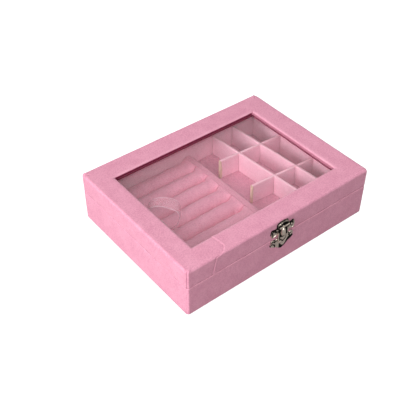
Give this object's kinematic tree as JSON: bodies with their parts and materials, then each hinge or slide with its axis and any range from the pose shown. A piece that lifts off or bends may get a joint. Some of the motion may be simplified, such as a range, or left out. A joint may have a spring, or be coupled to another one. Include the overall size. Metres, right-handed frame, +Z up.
{
  "type": "jewelry case",
  "caption": "Flat velvet jewelry case with a hinged window lid, a lift-out ring tray, a lift-out divider grid and a front hasp latch.",
  "frame": {"origin": "middle of the underside of the case", "axes": "+X along the long side to the right, +Y from the latch to the hinges, +Z up; the latch faces -Y"},
  "size_m": [0.2, 0.1578, 0.05],
  "materials": {
    "outer_velvet": "short pile velvet",
    "lining_velvet": "short pile velvet",
    "tray_velvet": "short pile velvet over foam",
    "divider_velvet": "short pile velvet over board",
    "board": "raw grey-beige board",
    "bottom_paper": "matte lining paper",
    "glass": "clear",
    "ribbon": "thin satin ribbon, slightly see-through",
    "latch_metal": "antique nickel, stamped",
    "hinge_metal": "antique nickel, stamped"
  },
  "bodies": {
    "base": {"base_front_board": "board", "base_back_board": "board", "base_left_board": "board", "base_right_board": "board", "base_bottom_board": "board", "base_velvet_wrap": "outer_velvet", "bottom_panel": "bottom_paper", "liner_front": "lining_velvet", "liner_back": "lining_velvet", "liner_left": "lining_velvet", "liner_right": "lining_velvet", "floor_pad": "lining_velvet", "hinge_left_base_leaf": "hinge_metal", "hinge_left_pin": "hinge_metal", "hinge_right_base_leaf": "hinge_metal", "hinge_right_pin": "hinge_metal", "hinge_screws_base": "hinge_metal", "latch_lower_plate": "latch_metal", "latch_nails_base": "latch_metal"},
    "lid": {"lid_front_board": "board", "lid_back_board": "board", "lid_left_board": "board", "lid_right_board": "board", "lid_top_front": "board", "lid_top_back": "board", "lid_top_left": "board", "lid_top_right": "board", "lid_velvet_wrap": "outer_velvet", "lid_lining": "lining_velvet", "glass_pane": "glass", "retainer_front": "lining_velvet", "retainer_back": "lining_velvet", "retainer_left": "lining_velvet", "retainer_right": "lining_velvet", "hinge_left_lid_leaf": "hinge_metal", "hinge_right_lid_leaf": "hinge_metal", "hinge_screws_lid": "hinge_metal", "latch_upper_plate": "latch_metal", "hasp_pin": "latch_metal", "latch_nails_lid": "latch_metal"},
    "hasp": {"latch_hasp": "latch_metal"},
    "ring_tray": {"tray_board": "tray_velvet", "tray_left_rail": "tray_velvet", "tray_right_rail": "tray_velvet", "ring_roll_1": "tray_velvet", "ring_roll_2": "tray_velvet", "ring_roll_3": "tray_velvet", "ring_roll_4": "tray_velvet", "ring_roll_5": "tray_velvet", "ring_roll_6": "tray_velvet", "ring_roll_7": "tray_velvet", "ring_roll_8": "tray_velvet", "lift_loop": "ribbon"},
    "divider_grid": {"long_divider_left": "divider_velvet", "long_divider_right": "divider_velvet", "cross_divider_back": "divider_velvet", "cross_divider_front": "divider_velvet"}
  },
  "joints": [
    {"name": "lid_hinge", "type": "hinge", "parent": "base", "child": "lid", "pos_m": [0, 0.0768, 0.03165], "axis": [-1, 0, 0], "range_deg": [0, 100]},
    {"name": "hasp_swing", "type": "hinge", "parent": "lid", "child": "hasp", "pos_m": [-0.0018, -0.0775, 0.0431], "axis": [-1, 0, 0], "range_deg": [0, 135]},
    {"name": "ring_tray_lift", "type": "slide", "parent": "base", "child": "ring_tray", "axis": [0, 0, 1], "range_m": [0, 0.02], "deforming": ["lift_loop"]},
    {"name": "divider_grid_lift", "type": "slide", "parent": "base", "child": "divider_grid", "axis": [0, 0, 1], "range_m": [0, 0.014]}
  ]
}
